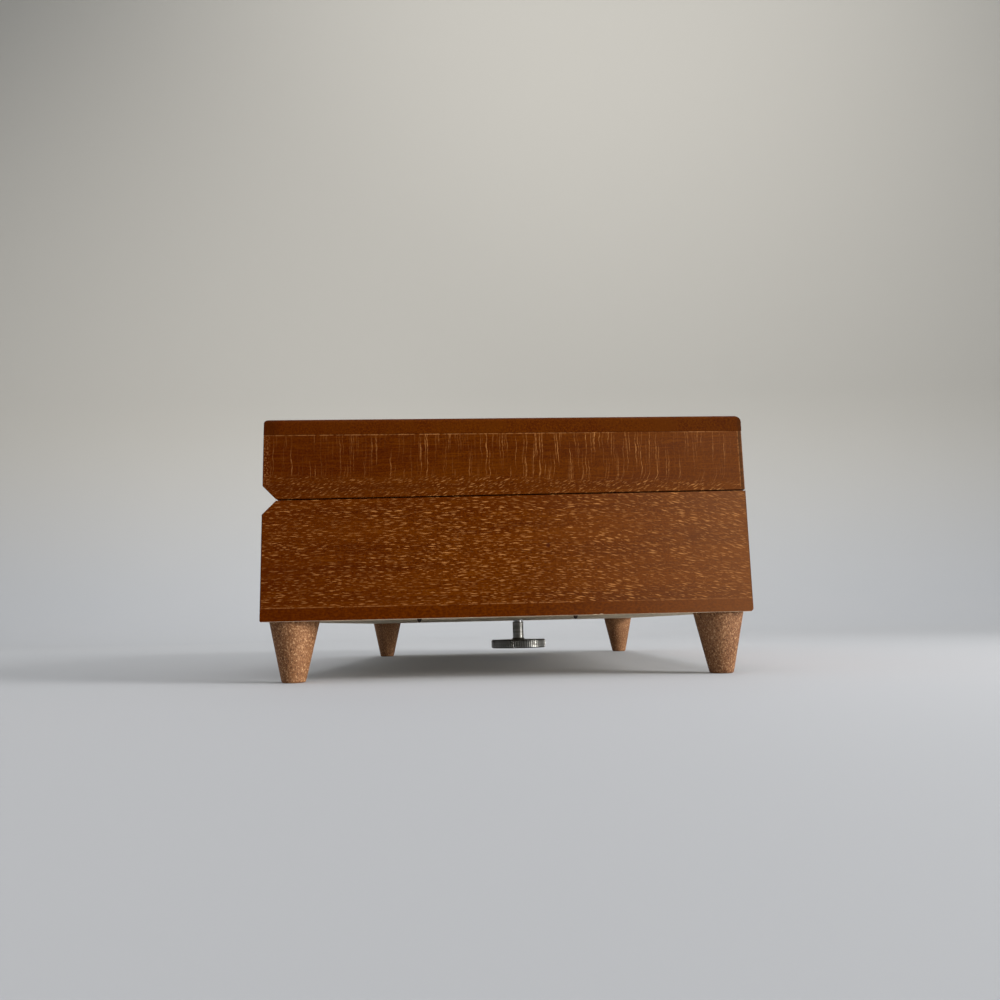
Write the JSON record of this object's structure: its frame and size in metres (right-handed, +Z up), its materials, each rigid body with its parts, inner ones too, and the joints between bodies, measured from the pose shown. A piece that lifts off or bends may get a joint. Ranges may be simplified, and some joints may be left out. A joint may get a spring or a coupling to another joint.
{
  "type": "music box",
  "caption": "Rectangular stained wooden music box with a back-hinged lid, tapered turned feet, a trinket tray and a comb-and-cylinder movement wound by a knurled knob underneath.",
  "frame": {"origin": "on the floor under the middle of the case", "axes": "+Z up, +X along the hinge line to the movement's end, -Y to the front, +Y to the hinged back"},
  "size_m": [0.18, 0.115, 0.0627],
  "materials": {
    "stained_beech": "stained and thinly varnished, semi-matt",
    "raw_wood": "bare",
    "foot_wood": "turned, roughly stained",
    "glass": "clear",
    "felt": "felt",
    "brass": "satin",
    "steel": "satin",
    "dark_steel": "blackened"
  },
  "bodies": {
    "case": {"bottom_board": "raw_wood", "base_front": "stained_beech", "base_back": "stained_beech", "base_left_end": "stained_beech", "base_right_end": "stained_beech", "partition": "stained_beech", "glass_ledges": "stained_beech", "glass_cover": "glass", "felt_lining": "felt", "foot_front_left": "foot_wood", "foot_front_right": "foot_wood", "foot_back_left": "foot_wood", "foot_back_right": "foot_wood", "bottom_pins": "dark_steel", "left_hinge_base_leaf": "brass", "right_hinge_base_leaf": "brass", "hinge_pins": "steel", "hinge_base_screws": "brass", "bedplate": "brass", "spring_housing": "steel", "mainspring": "dark_steel", "comb_base": "brass", "comb": "steel", "comb_screws": "steel", "left_bracket": "brass", "right_bracket": "brass", "governor_plate": "brass", "governor_cock": "brass", "stop_guide": "brass", "stop_spring": "steel", "bracket_screws": "steel", "movement_screws": "steel"},
    "lid": {"lid_top": "stained_beech", "lid_front": "stained_beech", "lid_back": "stained_beech", "lid_left_end": "stained_beech", "lid_right_end": "stained_beech", "lid_dowel": "raw_wood", "left_hinge_lid_leaf": "brass", "right_hinge_lid_leaf": "brass", "hinge_lid_screws": "brass"},
    "winding": {"winding_knob": "steel", "winding_arbor": "steel", "arbor_clip": "dark_steel"},
    "great_wheel": {"great_wheel": "brass"},
    "cylinder": {"tune_cylinder": "brass", "cylinder_hubs": "brass", "cylinder_arbor": "steel", "cylinder_pinion": "steel", "cylinder_wheel": "brass"},
    "governor": {"governor_shaft": "steel", "governor_pinion": "steel", "worm_wheel": "brass"},
    "fan": {"worm_shaft": "steel", "fan": "dark_steel"},
    "stop_pin": {"stop_pin": "steel"}
  },
  "joints": [
    {"name": "lid_hinge", "type": "hinge", "parent": "case", "child": "lid", "pos_m": [0, 0.05455, 0.04295], "axis": [-1, 0, 0], "range_deg": [0, 95]},
    {"name": "stop_slide", "type": "slide", "parent": "case", "child": "stop_pin", "axis": [0, 0, 1], "range_m": [0, 0.0031]},
    {"name": "knob_turn", "type": "hinge", "parent": "case", "child": "winding", "pos_m": [0.036, -0.0056, 0.005], "axis": [0, 0, 1], "continuous": true},
    {"name": "cylinder_spin", "type": "hinge", "parent": "case", "child": "cylinder", "pos_m": [0.036, -0.0056, 0.0329], "axis": [1, 0, 0], "continuous": true},
    {"name": "great_wheel_spin", "type": "hinge", "parent": "case", "child": "great_wheel", "pos_m": [0.036, -0.0056, 0.028], "axis": [0, 0, 1], "continuous": true},
    {"name": "governor_spin", "type": "hinge", "parent": "case", "child": "governor", "pos_m": [0.076, 0.00128, 0.02808], "axis": [1, 0, 0], "continuous": true},
    {"name": "fan_spin", "type": "hinge", "parent": "case", "child": "fan", "pos_m": [0.077, 0.0066, 0.03], "axis": [0, 0, 1], "continuous": true}
  ],
  "couplings": [
    {"joint": "stop_slide", "follows": "lid_hinge", "m_per_rad": 0.0018093},
    {"joint": "great_wheel_spin", "follows": "cylinder_spin", "ratio": 0.27778},
    {"joint": "governor_spin", "follows": "cylinder_spin", "ratio": -5},
    {"joint": "fan_spin", "follows": "cylinder_spin", "ratio": 50}
  ]
}
